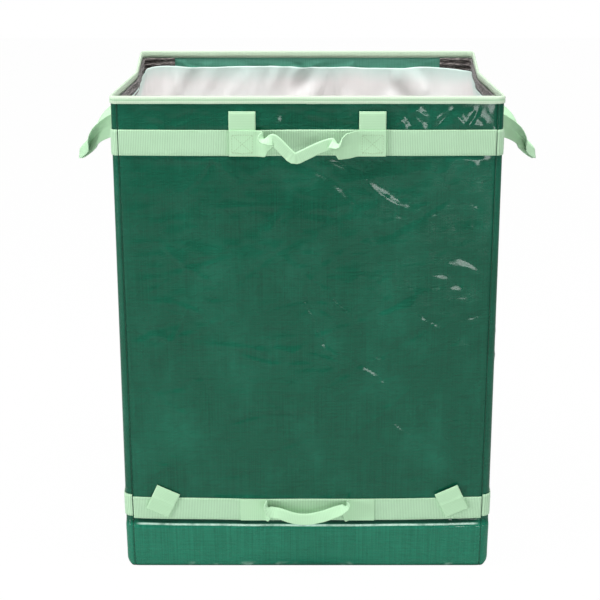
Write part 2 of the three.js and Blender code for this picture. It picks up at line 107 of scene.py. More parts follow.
def make_outline(radius, inset, arc_steps=24):
    """Straight sides joined by quarter circles, as tables over the distance s round the sack."""
    half = {"x": WIDTH / 2 - inset - radius, "y": DEPTH / 2 - inset - radius}
    arc = radius * QUARTER
    quadrant = half["x"] + arc + half["y"]
    turn = np.linspace(0, 1, arc_steps)
    s, x, y, out_x, out_y, side = [], [], [], [], [], []
    for k in range(-1, 5):
        along, across = (half["x"], half["y"]) if k % 2 == 0 else (half["y"], half["x"])
        angle = k * QUARTER
        corner = angle - QUARTER + turn * QUARTER
        flat_x, flat_y = np.array([-along, along]), np.full(2, -across - radius)
        arc_x = along + radius * np.cos(turn * QUARTER - QUARTER)
        arc_y = -across + radius * np.sin(turn * QUARTER - QUARTER)
        local_x, local_y = np.concatenate([flat_x, arc_x[1:-1]]), np.concatenate([flat_y, arc_y[1:-1]])
        facing = np.concatenate([np.full(2, angle - QUARTER), corner[1:-1]])
        x.append(local_x * math.cos(angle) - local_y * math.sin(angle))
        y.append(local_x * math.sin(angle) + local_y * math.cos(angle))
        out_x.append(np.cos(facing))
        out_y.append(np.sin(facing))
        s.append(k * quadrant + np.concatenate([flat_x, along + arc * turn[1:-1]]))
        from_side, to_side = k % 2, (k + 1) % 2
        side.append(np.concatenate([np.full(2, from_side), from_side + (to_side - from_side) * turn[1:-1]]))
    tables = [np.concatenate(t) for t in (x, y, out_x, out_y, side)]
    return {"s": np.concatenate(s), "tables": tables, "quadrant": quadrant}


walls_outline = make_outline(CORNER, 0)
liner_outline = make_outline(LINER_CORNER, LINER_INSET)
QUADRANT = walls_outline["quadrant"]
MIDDLE = {name: k * QUADRANT for k, name in enumerate(SIDES)}
FLAT = {name: (DEPTH if name in ("right", "left") else WIDTH) / 2 - CORNER for name in SIDES}
print("round the sack:", round(4 * QUADRANT, 4))

# %% [markdown]
# The crease under the lower band is the one sharp line in the fabric. Its section is drawn
# through a few points: out to a lip, quickly in to a valley, and flat again under the band.

# %% How far the soft walls stand off the outline
SWELL = {"front": 6 * MM, "side": 9 * MM}
BASE_FLARE = 4 * MM
FOOT_TUCK, FOOT_HEIGHT = 6 * MM, 16 * MM
MOUTH_KINK, KINK_HEIGHT = 16 * MM, 350 * MM
LIP = [
    (0, 0), (20, 1.6), (50, 3.6), (68, 4.8), (76, 5.4), (80, 4.6),
    (84, 0.5), (88, -2.4), (94, -2.5), (112, -1.3), (131, 0),
]
LIP_HEIGHTS, LIP_STANDS = (np.array(column) * MM for column in zip(*LIP))


def smoothstep(low, high, x):
    """0 below low, 1 above high, and a smooth rise between."""
    t = np.clip((x - low) / (high - low), 0, 1)
    return t * t * (3 - 2 * t)


def stand_off(side, share_x, share_y, z):
    """The wall's lean, swell, fold and foot, mixed from front to side round each corner."""
    up = np.clip(z / HEIGHT, 0, 1)
    lean = BASE_FLARE * (1 - up) - FOOT_TUCK * np.clip(1 - z / FOOT_HEIGHT, 0, 1) ** 2
    swell = np.sin(math.pi * up)
    lip = np.interp(z + LOWER_SAG * (1 - share_x**2), LIP_HEIGHTS, LIP_STANDS)
    front = SWELL["front"] * swell * (1 - share_x**2) + lip
    mouth = np.clip(1 - (HEIGHT - z) / KINK_HEIGHT, 0, 1) ** 1.5
    tent = 1 - np.sqrt(share_y**2 + 0.004)
    sides = SWELL["side"] * swell * (1 - share_y**2) - MOUTH_KINK * mouth * np.clip(tent, 0, 1)
    return lean + (1 - side) * front + side * sides


def shell(s, z, off=0.0, outline=walls_outline):
    """The point at distance s round the sack, height z, and off metres outside the fabric."""
    s, z, off = np.broadcast_arrays(s, z, off)
    whole = 4 * outline["quadrant"]
    wrapped = (s + outline["quadrant"] / 2) % whole - outline["quadrant"] / 2
    x, y, out_x, out_y, side = (np.interp(wrapped, outline["s"], table) for table in outline["tables"])
    share_x = np.clip(x / FLAT["front"], -1, 1)
    share_y = np.clip(y / FLAT["right"], -1, 1)
    stand = stand_off(side, share_x, share_y, z) + off
    return np.stack([x + out_x * stand, y + out_y * stand, z], axis=-1)


print("front middle:", shell(0.0, 0.4).round(4), "right middle:", shell(QUADRANT, 0.4).round(4))

# %% [markdown]
# Laminated fabric keeps every crumple it ever had. Small crumples are worked out as noise: a
# lattice of random heights, smoothly joined. Single creases are short ridges laid at random
# places and angles. Both fade to nothing under the sewn webbing and at the seams.

# %% Crumples and creases
def noise(u, v, seed, cells=64):
    """Random heights from -1 to 1 on a lattice of unit cells, joined by smooth curves."""
    lattice = np.random.default_rng(seed).uniform(-1, 1, (cells, cells))
    u0, v0 = np.floor(u).astype(int), np.floor(v).astype(int)
    fu, fv = u - u0, v - v0
    fu, fv = fu**3 * (fu * (6 * fu - 15) + 10), fv**3 * (fv * (6 * fv - 15) + 10)

    def corner(i, j):
        return lattice[(u0 + i) % cells, (v0 + j) % cells]

    low = corner(0, 0) * (1 - fu) + corner(1, 0) * fu
    high = corner(0, 1) * (1 - fu) + corner(1, 1) * fu
    return low * (1 - fv) + high * fv


def ridged(u, v, seed):
    """Sharp ridges where the noise crosses zero, and flat pans between them."""
    return 1 - np.abs(noise(u, v, seed)) * 2


def creases(s, z, seed, count, spread, heights):
    """Short straight ridges, each a soft hump across its line that fades towards its ends."""
    rng = np.random.default_rng(seed)
    total = np.zeros(np.broadcast(s, z).shape)
    for _ in range(count):
        middle = rng.uniform(-spread, spread), rng.uniform(*heights)
        angle = rng.normal(0, 0.55) if rng.random() < 0.75 else rng.uniform(0, math.pi)
        length, width = rng.uniform(0.02, 0.1), rng.uniform(0.003, 0.006)
        height = rng.uniform(0.5, 1.6) * MM * rng.choice([-1, 1])
        along = (s - middle[0]) * math.cos(angle) + (z - middle[1]) * math.sin(angle)
        across = (z - middle[1]) * math.cos(angle) - (s - middle[0]) * math.sin(angle)
        across = across + 4 * along**2 * rng.normal(0, 0.5)
        total += height * np.exp(-((across / width) ** 2)) * np.clip(1 - (along / length) ** 2, 0, 1)
    return total


def sag(name, along):
    """How far the lower webbing has sunk, most at the middle of the front and of the back."""
    return LOWER_SAG * (1 - (along / FLAT[name]) ** 2) if name in ("front", "back") else 0 * along


def under_webbing(z, height, reach=6 * MM):
    """1 where a band lies on the fabric, fading to 0 just outside it."""
    return 1 - smoothstep(WEBBING_WIDTH / 2, WEBBING_WIDTH / 2 + reach, np.abs(z - height))


def crumple(name, along, z):
    """The fabric's own unevenness on one wall, in metres, inwards and outwards."""
    half = FLAT[name]
    seed = 10 * SIDES.index(name)
    broad = noise(along * 9 + 5, z * 7, seed + 1) * 2.2 * MM
    middle = noise(along * 20 + 9, z * 26, seed + 2) * 0.9 * MM
    small = ridged(along * 34, z * 52, seed + 3) * 0.4 * MM + noise(along * 80, z * 120, seed + 4) * 0.2 * MM
    lines = creases(along, z, seed + 5, 120, half, (0.02, 0.78))
    lines += creases(along, z, seed + 6, 30, half, (0.742, 0.786))
    quiet = (1 - under_webbing(z, UPPER_BAND)) * (1 - under_webbing(z + sag(name, along), LOWER_BAND))
    quiet = quiet * smoothstep(0, 0.03, half - np.abs(along)) * (1 - smoothstep(0.772, 0.786, z))
    boot = 0.6 + 0.4 * smoothstep(0.085, 0.15, z)
    return (broad + middle + small + lines) * quiet * boot * smoothstep(0.004, 0.02, z)


# %% [markdown]
# A grid of points becomes a mesh with one face for each cell of the grid. Its UV map keeps the
# distances on the cloth in metres, so that a weave keeps its scale wherever the cloth goes.
# Cloth and webbing get their thickness from a Solidify modifier.

# %% A grid of points as a mesh
def new_object(name, corners, faces, uv=None):
    """A mesh object from points, faces with the same number of corners, and UVs by point."""
    mesh = bpy.data.meshes.new(name)
    corners, faces = np.asarray(corners, dtype=np.float32), np.asarray(faces)
    sides = faces.shape[1]
    mesh.vertices.add(len(corners))
    mesh.vertices.foreach_set("co", corners.ravel())
    mesh.loops.add(faces.size)
    mesh.loops.foreach_set("vertex_index", faces.ravel().astype(np.int32))
    mesh.polygons.add(len(faces))
    mesh.polygons.foreach_set("loop_start", np.arange(0, faces.size, sides, dtype=np.int32))
    mesh.update(calc_edges=True)
    if uv is not None:
        layer = mesh.uv_layers.new(name="cloth")
        layer.uv.foreach_set("vector", np.asarray(uv, dtype=np.float32)[faces.ravel()].ravel())
    mesh.validate()
    mesh.shade_smooth()
    item = bpy.data.objects.new(name, mesh)
    bpy.context.scene.collection.objects.link(item)
    return item


def grid_faces(rows, columns, wrap=False):
    """Corner numbers of the cells of a grid; with wrap, the last column meets the first."""
    index = np.arange(rows * columns).reshape(rows, columns)
    if wrap:
        index = np.hstack([index, index[:, :1]])
    cells = [index[:-1, :-1], index[:-1, 1:], index[1:, 1:], index[1:, :-1]]
    return np.stack(cells, axis=-1).reshape(-1, 4)


def cloth(name, points, uv, thickness, offset=-1.0, wrap=False):
    """A sheet over a grid of points, thickened inwards (-1), outwards (1) or both ways (0)."""
    rows, columns = points.shape[:2]
    item = new_object(name, points.reshape(-1, 3), grid_faces(rows, columns, wrap), uv.reshape(-1, 2))
    solid = item.modifiers.new("thickness", "SOLIDIFY")
    solid.thickness = thickness
    solid.offset = offset
    return item


def grid(first, last, steps, low, high, rises):
    """Two arrays: the place along, and the height, at every point of a grid."""
    return np.meshgrid(np.linspace(first, last, steps + 1), np.linspace(low, high, rises + 1))


def dress(item, surface, nodes):
    """Gives a piece its material, its place in the record, and the solids that it stands for."""
    item.data.materials.clear()
    item.data.materials.append(surface)
    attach(item, "root")
    if nodes:
        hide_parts(*nodes)


# %% [markdown]
# Shader maths reads best as plain arithmetic. A Wire is one output of a node, and an
# expression on wires adds the Math nodes that work it out.

# %% Shader arithmetic
class Wire:
    """One output of a shader node; arithmetic on it adds Math nodes."""

    def __init__(self, board, output):
        self.board, self.output = board, output

    def math(self, operation, *values):
        return self.board.add("ShaderNodeMath", {"operation": operation}, *values)

    def __add__(self, other):
        return self.math("ADD", self, other)

    def __sub__(self, other):
        return self.math("SUBTRACT", self, other)

    def __rsub__(self, other):
        return self.math("SUBTRACT", other, self)

    def __mul__(self, other):
        return self.math("MULTIPLY", self, other)

    def __pow__(self, other):
        return self.math("POWER", self, other)

    __radd__ = __add__
    __rmul__ = __mul__

    def sine(self):
        return self.math("SINE", self)

    def absolute(self):
        return self.math("ABSOLUTE", self)

    def wrapped(self, low, high):
        return self.math("WRAP", self, high, low)

    def between(self, low, high):
        """0 below low, 1 above high, and a smooth rise between."""
        settings = {"interpolation_type": "SMOOTHSTEP", "clamp": True}
        return self.board.add("ShaderNodeMapRange", settings, self, low, high, 0.0, 1.0)


class Board:
    """A new material's nodes, with one method that adds a node and one for its surface."""

    def __init__(self, name, **fixed):
        self.material = bpy.data.materials.new(name)
        self.material.use_nodes = True
        self.tree = self.material.node_tree
        self.surface = self.tree.nodes["Principled BSDF"]
        for socket, value in fixed.items():
            self.surface.inputs[socket.replace("_", " ")].default_value = value

    def add(self, kind, settings=None, *values, out=0, **named):
        node = self.tree.nodes.new(kind)
        for key, value in (settings or {}).items():
            setattr(node, key, value)
        for key, value in [*enumerate(values), *((k.replace("_", " "), v) for k, v in named.items())]:
            self.join(node.inputs[key], value)
        return Wire(self, node.outputs[out])

    def join(self, socket, value):
        if isinstance(value, Wire):
            self.tree.links.new(value.output, socket)
        else:
            socket.default_value = value

    def paint(self, **sockets):
        for name, value in sockets.items():
            self.join(self.surface.inputs[name.replace("_", " ")], value)
        return self.material

    def noise(self, place, scale, detail=2.0, roughness=0.5):
        sockets = dict(Vector=place, Scale=scale, Detail=detail, Roughness=roughness)
        return self.add("ShaderNodeTexNoise", {}, **sockets)

    def stretched(self, place, *scales):
        """The same place with each axis scaled, which draws a noise out into streaks."""
        return self.add("ShaderNodeMapping", {}, Vector=place, Scale=scales)

    def mix(self, share, first, second):
        """A colour that goes from the first to the second as share goes from 0 to 1."""
        node = self.tree.nodes.new("ShaderNodeMix")
        node.data_type = "RGBA"
        for socket, value in zip((node.inputs[0], node.inputs[6], node.inputs[7]), (share, first, second)):
            self.join(socket, value)
        return Wire(self, node.outputs[2])

    def bump(self, height, strength, distance):
        return self.add("ShaderNodeBump", {}, Height=height, Strength=strength, Distance=distance)

    def cloth_place(self):
        """The place on the cloth in metres, from the piece's own UV map, and its two parts."""
        place = self.add("ShaderNodeUVMap", {"uv_map": "cloth"})
        node = self.tree.nodes.new("ShaderNodeSeparateXYZ")
        self.join(node.inputs[0], place)
        return place, Wire(self, node.outputs[0]), Wire(self, node.outputs[1])


def colour(red, green, blue):
    """A screen colour, 0 to 255, as the linear colour that a shader works with."""
    srgb = np.array([red, green, blue]) / 255
    return (*np.where(srgb <= 0.04045, srgb / 12.92, ((srgb + 0.055) / 1.055) ** 2.4), 1.0)


# %% [markdown]
# The fabric is woven from flat plastic tapes, about 2 mm wide, and laminated with a clear
# glossy film. Each tape has its own shade, so the cloth shows fine upright and level streaks.
# The film takes small crinkles, which only the bump shows. Some of the colour is painted light:
# a painted highlight along the lip of the fold under the lower webbing, painted shade in the
# valley above that lip, a lighter green painted below the fold as if more light fell there, and
# painted highlights in patches along the foot.

# %% Laminated fabric
TAPE = 2.2 * MM
GREEN = colour(8, 88, 65)
DARK_GREEN = colour(4, 73, 53)
PALE_GREEN = colour(26, 114, 89)
# painted shade colour, for the valley between the lower webbing and the lip
PAINTED_VALLEY_SHADE = colour(2, 44, 32)
# painted light: lighter greens for the cloth below the fold, as if more light fell there
PAINTED_LIGHT_BOOT_GREEN, PAINTED_LIGHT_BOOT_STREAK = colour(36, 132, 104), colour(18, 108, 82)
# painted highlight colour, for the line on the lip and the patches along the foot
PAINTED_HIGHLIGHT_GREEN = colour(186, 216, 202)
LIP_LINE, VALLEY_LINE = 82.5 * MM, 88 * MM


def tape_streaks(board, place):
    """0 to 1 by the shade of the upright and the level tape that cross at a place."""
    upright = board.noise(board.stretched(place, 1.5 / TAPE, 9.0, 1.0), 1.0, 1.0)
    level = board.noise(board.stretched(place, 9.0, 1.5 / TAPE, 1.0), 1.0, 1.0)
    return (upright * 0.62 + level * 0.38).between(0.25, 0.75)


def laminated_fabric():
    board = Board("laminated_fabric", Specular_IOR_Level=0.06, Coat_Weight=0.32, Coat_Roughness=0.12)
    place, along, up = board.cloth_place()
    patches = board.noise(board.stretched(place, 11.0, 7.0, 1.0), 1.0, 4.0, 0.6)
    streaks = tape_streaks(board, place)
    base = board.mix(streaks, DARK_GREEN, GREEN)
    base = board.mix(patches.between(0.42, 0.75) * 0.4, base, PALE_GREEN)
    from_middle = along.wrapped(-QUADRANT, QUADRANT)
    share = from_middle * (1 / FLAT["front"])
    level = up + (1.0 - share * share) * LOWER_SAG
    across_front = 1.0 - from_middle.absolute().between(FLAT["front"] - 14 * MM, FLAT["front"] - 2 * MM)
    # painted shade: darker green in the valley between the lower webbing and the lip
    valley = 1.0 - (level - VALLEY_LINE).absolute().between(1.5 * MM, 5 * MM)
    # painted highlight: a pale line along the lip of the fold, broken up by noise
    lip = 1.0 - (level - LIP_LINE).absolute().between(0.4 * MM, 1.9 * MM)
    highlight_breaks = board.noise(board.stretched(place, 40.0, 12.0, 1.0), 1.0, 3.0, 0.6).between(0.3, 0.6)
    # painted light: below the fold the cloth is mixed towards a lighter green
    boot = board.mix(streaks, PAINTED_LIGHT_BOOT_STREAK, PAINTED_LIGHT_BOOT_GREEN)
    base = board.mix((1.0 - level.between(78 * MM, 86 * MM)) * 0.7, base, boot)
    base = board.mix(valley * across_front * 0.75, base, PAINTED_VALLEY_SHADE)
    base = board.mix(lip * across_front * (highlight_breaks * 0.55 + 0.4), base, PAINTED_HIGHLIGHT_GREEN)
    # painted highlight: pale patches along the foot of the walls
    painted_foot_highlight = (1.0 - up.between(3 * MM, 13 * MM)) * board.noise(place, 24.0, 2.0, 0.6).between(0.54, 0.66)
    base = board.mix(painted_foot_highlight * 0.35, base, PAINTED_HIGHLIGHT_GREEN)
    crinkle = board.noise(place, 170.0, 3.0, 0.65)
    folds = board.noise(board.stretched(place, 26.0, 60.0, 1.0), 1.0, 4.0, 0.62)
    crest = 1.0 - (folds - 0.5).absolute() * 9.0
    weave = (along * (math.pi / TAPE)).sine() * (up * (math.pi / TAPE)).sine()
    relief = crinkle * 0.6 + crest.between(0.2, 1.0) * 0.9 + weave * 0.1
    surface = dict(Base_Color=base, Roughness=0.38 + patches * 0.2)
    return board.paint(**surface, Normal=board.bump(relief, 0.9, 1.1 * MM))


def bare_fabric():
    """The inner face of the cloth, which has no film: paler, and nearly without gloss."""
    board = Board("bare_fabric", Specular_IOR_Level=0.25)
    place, along, up = board.cloth_place()
    base = board.mix(tape_streaks(board, place), colour(78, 148, 124), colour(108, 174, 154))
    weave = (along * (math.pi / TAPE)).sine() * (up * (math.pi / TAPE)).sine()
    relief = board.bump(weave, 0.3, 0.3 * MM)
    return board.paint(Base_Color=base, Roughness=0.55 + weave * 0.08, Normal=relief)


# %% [markdown]
# Webbing is a heavy ribbed tape. Its ribs run across it every 2.6 mm, with a shadow between
# them.

# %% Webbing, tape and film
MINT = colour(182, 219, 184)
MINT_SHADE = colour(152, 188, 154)
GROOVE_SHADE = colour(150, 198, 156)
RIB, THREAD = 2.6 * MM, 0.9 * MM


def webbing(name, rib_depth=1.0, pale=MINT, dark=MINT_SHADE, groove=None):
    board = Board(name, Specular_IOR_Level=0.3, Sheen_Weight=0.15)
    place, along, across = board.cloth_place()
    rib = (along * (2 * math.pi / RIB)).sine() * 0.5 + 0.5
    thread = (across * (2 * math.pi / THREAD)).sine() * 0.5 + 0.5
    speckle = board.noise(place, 900.0, 2.0, 0.7)
    wear = board.noise(place, 35.0, 3.0, 0.55)
    share = (rib ** 0.7) * 0.75 + speckle * 0.3 - (wear - 0.5) * 0.25
    base = board.mix(share.between(0.05, 1.0), dark, pale)
    if groove:
        beside = (across - groove).absolute().between(0.3 * MM, 1.5 * MM)
        base = board.mix((1.0 - beside) * 0.75, base, GROOVE_SHADE)
    relief = rib * rib_depth + thread * 0.3 + speckle * 0.25
    ribs = board.bump(relief, 0.5, 0.5 * MM)
    return board.paint(Base_Color=base, Roughness=0.72 + wear * 0.15, Normal=ribs)


def soft_tape():
    board = Board("soft_black_tape", Specular_IOR_Level=0.35, Sheen_Weight=0.3)
    place, _, _ = board.cloth_place()
    threads = board.noise(board.stretched(place, 90.0, 900.0, 1.0), 1.0, 3.0, 0.6)
    fluff = board.noise(place, 700.0, 3.0, 0.7)
    base = board.mix(threads.between(0.42, 0.68), colour(44, 38, 39), colour(150, 142, 138))
    pile = board.bump(threads + fluff * 0.5, 0.5, 0.6 * MM)
    return board.paint(Base_Color=base, Roughness=0.8 + fluff * 0.1, Normal=pile)


def milky_film():
    board = Board("milky_film", Specular_IOR_Level=0.4)
    place, _, up = board.cloth_place()
    clouds = board.noise(board.stretched(place, 6.0, 4.0, 1.0), 1.0, 4.0, 0.55)
    drawn = board.noise(board.stretched(place, 60.0, 9.0, 1.0), 1.0, 3.0, 0.6)
    edge = (up + (clouds - 0.5) * 0.05).between(HEIGHT - 0.062, HEIGHT - LINER_DROP)
    body = board.mix(clouds.between(0.35, 0.7), colour(240, 236, 235), colour(253, 253, 252))
    base = board.mix(edge * 0.7, body, colour(196, 228, 219))
    relief = clouds * 0.7 + drawn * 0.3
    rough = 0.28 + drawn * 0.2
    return board.paint(Base_Color=base, Roughness=rough, Normal=board.bump(relief, 0.5, 2 * MM))


def thread(name, shade, light):
    board = Board(name, Specular_IOR_Level=0.4)
    place = board.add("ShaderNodeTexCoord", {}, out="Object")
    twist = board.noise(place, 1500.0, 2.0, 0.6)
    return board.paint(Base_Color=board.mix(twist, shade, light), Roughness=0.6 + twist * 0.2)


fabric_look = laminated_fabric()
inside_look = bare_fabric()
band_look = webbing("ribbed_webbing")
strap_look = webbing("handle_webbing", 0.15, colour(178, 217, 179), colour(170, 209, 171))
binding_look = webbing("binding_tape", 0.1, colour(196, 217, 192), colour(186, 209, 182), 6 * MM)
tape_look = soft_tape()
film_look = milky_film()
thread_look = thread("mint_thread", colour(128, 150, 112), colour(178, 206, 172))
seam_look = thread("seam_thread", colour(24, 56, 42), colour(52, 84, 66))

# %% [markdown]
# The walls are four sewn panels. Those of the sides run round the corners, and the seams lie
# on the front and the back, 10 mm in from the corners, as the picture shows.

# %% Fabric panels
PANEL_TOP = HEIGHT - 1.7 * MM
SEAM_GAP = 0.2 * MM
TAPE_ZONE = HEIGHT - 80 * MM, HEIGHT - 60 * MM
DEEPEST = 1.2 * MM  # before the dark tape inside, which keeps the cloth from sinking further
panel_span = {
    "front": (-FLAT["front"] + SEAM_GAP, FLAT["front"] - SEAM_GAP),
    "right": (FLAT["front"] + SEAM_GAP - QUADRANT, QUADRANT - FLAT["front"] - SEAM_GAP),
}
panel_span["back"], panel_span["left"] = panel_span["front"], panel_span["right"]
PANEL_GRID = {"front": (196, 236), "back": (196, 236), "right": (160, 236), "left": (160, 236)}


def fabric_panel(name):
    """One wall from seam to seam, with its crumples, curving inwards a little at both seams."""
    steps, rises = PANEL_GRID[name]
    first, last = panel_span[name]
    along, z = grid(first, last, steps, 0.0, PANEL_TOP, rises)
    seam = np.minimum(along - first, last - along)
    bare = (1 - under_webbing(z, UPPER_BAND)) * (1 - under_webbing(z, LOWER_BAND))
    pucker = -0.8 * MM * np.exp(-seam / (3 * MM)) * bare
    off = crumple(name, along, z) + pucker
    off = off + (np.maximum(off, -DEEPEST) - off) * smoothstep(*TAPE_ZONE, z)
    points = shell(MIDDLE[name] + along, z, off)
    item = cloth(f"{name}_fabric", points, np.stack([MIDDLE[name] + along, z], axis=-1), FABRIC)
    dress(item, fabric_look, [f"{name}_panel"])
    item.data.materials.append(inside_look)
    item.modifiers["thickness"].material_offset = 1
    last - first
    return item


panels = {name: fabric_panel(name) for name in SIDES}
print("panel faces:", {name: len(item.data.polygons) for name, item in panels.items()})

# %% [markdown]
# The base is hidden under the sack. It keeps the shape of its solid, and gets the same cloth
# from a grid of its own so that the weave has a map to follow.

# %% Base panel
def base_cloth():
    """A flat oblong with round corners, drawn in towards its middle ring by ring."""
    s = np.linspace(0, 4 * QUADRANT, 240, endpoint=False)
    edge = shell(s, 0.0, -1.3 * MM)
    shares = np.linspace(0, 1, 40)[:, None, None]
    points = edge[None, :, :] * shares
    points[..., 2] = FABRIC
    points = points[::-1]
    uv = points[..., :2].copy()
    item = cloth("base_fabric", points, uv, FABRIC, wrap=True)
    return item


base_fabric = base_cloth()
dress(base_fabric, fabric_look, ["base_panel"])

# %% [markdown]
# The film bag hangs loose inside, so its corners are far rounder than the sack's and long
# folds run down and across it. They only ever lead inwards, away from the walls.

# %% Film bag
CALM_FROM, CALM_TO = 0.6, 0.75  # heights between which the folds at the sides die out


def film_bag():
    """Rings up the walls with folds pressed inwards, closed below by rings over the floor."""
    around = 4 * liner_outline["quadrant"]
    s = np.linspace(0, around, 360, endpoint=False)[None, :]
    low = np.linspace(4 * MM, CALM_FROM, 60, endpoint=False)
    high = np.linspace(CALM_FROM, HEIGHT - LINER_DROP, 70)
    heights = np.concatenate([low, high])[:, None]
    circle = s * (2 * math.pi / around)
    ring_u, ring_v = np.cos(circle) * 2.2 + 8, np.sin(circle) * 2.2 + 8
    slant = heights * 5
    broad = noise(ring_u * 1.6 + slant * 0.6, ring_v * 1.6 + slant, 71) * 0.5 + 0.5
    narrow = noise(ring_u * 4 + slant * 2.5, ring_v * 4 - slant * 2, 72) ** 2
    fine = noise(ring_u * 12, ring_v * 12 + slant * 3, 73) ** 2
    loose = smoothstep(0.0, 0.12, heights)
    from_front = np.abs((s + QUADRANT) % (2 * QUADRANT) - QUADRANT)
    at_side = smoothstep(FLAT["front"] - 0.02, FLAT["front"] + 0.04, from_front)
    droop = ((noise(ring_u * 2.5, ring_v * 2.5, 74) * 3 - 1.5) - 3 * at_side) * MM
    calm = 1 - 0.85 * at_side * smoothstep(CALM_FROM, CALM_TO, heights)
    fold = -(broad * 7 + narrow * 9 + fine * 2) * MM * loose * calm
    droop = droop * smoothstep(CALM_FROM, HEIGHT - LINER_DROP, heights)
    points = shell(s, heights + droop, fold, liner_outline)
    floor_shares = np.linspace(0.001, 0.985, 24)[:, None, None]
    floor = points[0][None] * floor_shares
    ripple = noise(floor[..., 0] * 14 + 9, floor[..., 1] * 14 + 9, 75) + 1
    floor[..., 2] = 3 * MM + ripple * 1.2 * MM * (1 - floor_shares[..., 0] ** 6)
    points = np.concatenate([floor, points])
    uv = np.concatenate([floor[..., :2], np.stack(np.broadcast_arrays(s, heights), axis=-1)])
    return cloth("film_bag", points, uv, 0.4 * MM, wrap=True)


bag = film_bag()
dress(bag, film_look, ["inner_liner"])

# %% [markdown]
# A binding tape is folded over the edge of the fabric. Its section is a slim U, carried all
# the way round the mouth, with a line of stitches near its lower edge.

# %% Mouth binding
def binding():
    """A U-shaped section carried round the mouth; its outer leg is 12 mm tall."""
    section = [
        (-2.4, -12), (-2.5, -7), (-2.3, -2.5), (-1.6, -0.7), (-0.5, 0), (0.6, -0.6),
        (1.4, -2), (2.1, -4), (1.5, -6.2), (2.1, -8.4), (1.9, -11), (1.4, -12),
    ]
    off, drop = (np.array(column)[:, None] * MM for column in zip(*section))
    s = np.linspace(0, 4 * QUADRANT, 900, endpoint=False)[None, :]
    wave = noise(s * 30, np.zeros_like(s), 81) * 0.25 * MM
    points = shell(s, HEIGHT - 0.4 * MM + drop + wave * (drop < -1 * MM), off)
    points = points[::-1]
    section_off, section_drop = off[::-1, 0], drop[::-1, 0]
    step_off = np.diff(section_off, prepend=section_off[0])
    step_drop = np.diff(section_drop, prepend=section_drop[0])
    length = np.cumsum(np.hypot(step_off, step_drop))
    uv = np.stack(np.broadcast_arrays(s, length[:, None]), axis=-1)
    return cloth("mouth_binding", points, uv, 0.9 * MM, offset=-1, wrap=True)


rim = binding()
dress(rim, binding_look, ["rim_binding"])

# %% [markdown]
# Inside each side of the mouth a soft dark tape runs round both corners. It has lain folded,
# so it ripples along its length and its lower edge wanders.

# %% Closure tapes
def closure_tape(name):
    """A strip below the binding, rippled along its length by a sine wave and noise."""
    reach = QUADRANT - FLAT["front"] + CLOSURE_RETURN
    along, share = grid(-reach, reach, 220, 0.0, 1.0, 18)
    seed = 90 + SIDES.index(name)
    edge = noise(along * 30, np.zeros_like(along), seed) * 1.5 * MM
    z = HEIGHT - BINDING_HEIGHT - 1 * MM - (CLOSURE_HEIGHT - 1 * MM + edge) * (1 - share)
    ripple = np.sin(share * 14 + noise(along * 14, share, seed + 2) * 2.5) * 1.5
    ripple = ripple + noise(along * 45, share * 3, seed + 4) * 0.8
    free = smoothstep(0, 0.1, share) * smoothstep(0, 0.12, 1 - share)
    off = -(3.2 + np.clip(ripple + 0.8, 0, 3) * free) * MM
    points = shell(MIDDLE[name] + along, z, off)
    uv = np.stack([along, share * CLOSURE_HEIGHT], axis=-1)
    return cloth(f"{name}_soft_tape", points, uv, 0.8 * MM, offset=1)


for name in ("right", "left"):
    dress(closure_tape(name), tape_look, [f"{name}_closure_tape"])

# %% [markdown]
# The bands are cut to each panel and caught in the corner seams. A little waviness along
# their edges, and the swelling between the two rows of stitches, keep them from looking ruled.

# %% Webbing bands
BAND_OFF = GAP + WEBBING


def band(name, level):
    """A strip of webbing on one panel; its edges wander by a fraction of a millimetre."""
    first, last = panel_span[name]
    rise = SIDE_BAND_RISE if level == "lower" and name in ("left", "right") else 0
    height = (UPPER_BAND if level == "upper" else LOWER_BAND) + rise
    along, across = grid(first + 0.4 * MM, last - 0.4 * MM, 240, -1, 1, 10)
    seed = 100 + 2 * SIDES.index(name) + (level == "upper")
    wander = noise(along * 12, across * 0.2, seed) * 0.5 * MM
    sunk = sag(name, along) if level == "lower" else 0
    z = height - sunk + across * WEBBING_WIDTH / 2 + wander
    cushion = 0.35 * MM * (1 - across**6) + noise(along * 40, across * 2, seed + 30) * 0.15 * MM
    points = shell(MIDDLE[name] + along, z, BAND_OFF + cushion)
    uv = np.stack([along, across * WEBBING_WIDTH / 2], axis=-1)
    item = cloth(f"{name}_{level}_webbing", points, uv, WEBBING)
    dress(item, band_look, [f"{name}_{level}_band"])
    return item


for name in SIDES:
    for level in ("upper", "lower"):
        band(name, level)

# %% [markdown]
# A handle is one length of webbing, sewn flat at both ends and folded in half lengthwise
# between them. Stations along it say how far it has dropped, how far it stands off the wall,
# how far it is folded, and by how many degrees it leans. Smooth curves join the stations.
# Across the strap, the direction of the webbing turns from upright to hanging within a few
# millimetres, at the fold.

# %% Straps
def smooth_through(places, values, at):
    """Cubic curves through the stations that never swing past a station's value."""
    slope = np.diff(values) / np.diff(places)
    before, after = slope[:-1], slope[1:]
    safe = np.where(before * after > 0, before + after, 1)
    middle = np.where(before * after > 0, 2 * before * after / safe, 0)
    tangent = np.concatenate([[0], middle, [0]])
    i = np.clip(np.searchsorted(places, at) - 1, 0, len(places) - 2)
    span = places[i + 1] - places[i]
    t = np.clip((at - places[i]) / span, 0, 1)
    rise = t * t * (3 - 2 * t)
    bend = tangent[i] * t * (1 - t) ** 2 - tangent[i + 1] * t * t * (1 - t)
    return values[i] * (1 - rise) + values[i + 1] * rise + span * bend


def added_up(direction, step):
    """The way gone from the first row of points, where each step follows the mean direction."""
    way = np.cumsum((direction[1:] + direction[:-1]) / 2 * step, axis=0)
    return np.concatenate([np.zeros((1, way.shape[1])), way])


